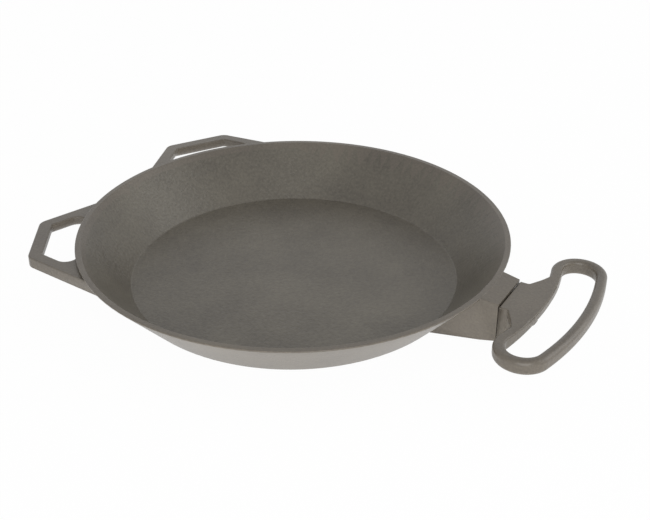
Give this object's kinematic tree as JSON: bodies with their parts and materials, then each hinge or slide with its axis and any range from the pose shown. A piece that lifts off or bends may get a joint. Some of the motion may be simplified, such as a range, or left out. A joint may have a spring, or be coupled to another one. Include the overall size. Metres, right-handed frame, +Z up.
{
  "type": "cast iron pan",
  "caption": "Cast iron pan with a flared wall, open side handles, and a draw-out loop handle that a squeezed lever locks in its socket",
  "frame": {"origin": "centre of the flat underside of the base, on the table", "axes": "+X out along the loop handle, +Z up through the dish's mouth, +Y to the left seen from the dish toward the loop handle"},
  "size_m": [0.4297, 0.34, 0.0428],
  "materials": {
    "cast_iron": "bare sand-cast skin, satin, warm grey",
    "steel": "bare steel"
  },
  "bodies": {
    "pan": {"pan_casting": "cast_iron"},
    "handle": {"handle_casting": "cast_iron", "lever_pin": "steel", "lever_spring": "steel"},
    "lever": {"grip_lever": "cast_iron"}
  },
  "joints": [
    {"name": "handle_slide", "type": "slide", "parent": "pan", "child": "handle", "axis": [1, 0, 0], "range_m": [0, 0.045]},
    {"name": "lever_squeeze", "type": "hinge", "parent": "handle", "child": "lever", "pos_m": [0.1883, 0, 0.0212], "axis": [0, -1, 0], "range_deg": [0, 10], "stiffness_Nm_per_rad": 0.5, "springref_deg": -5.73, "deforming": ["lever_spring"]}
  ]
}
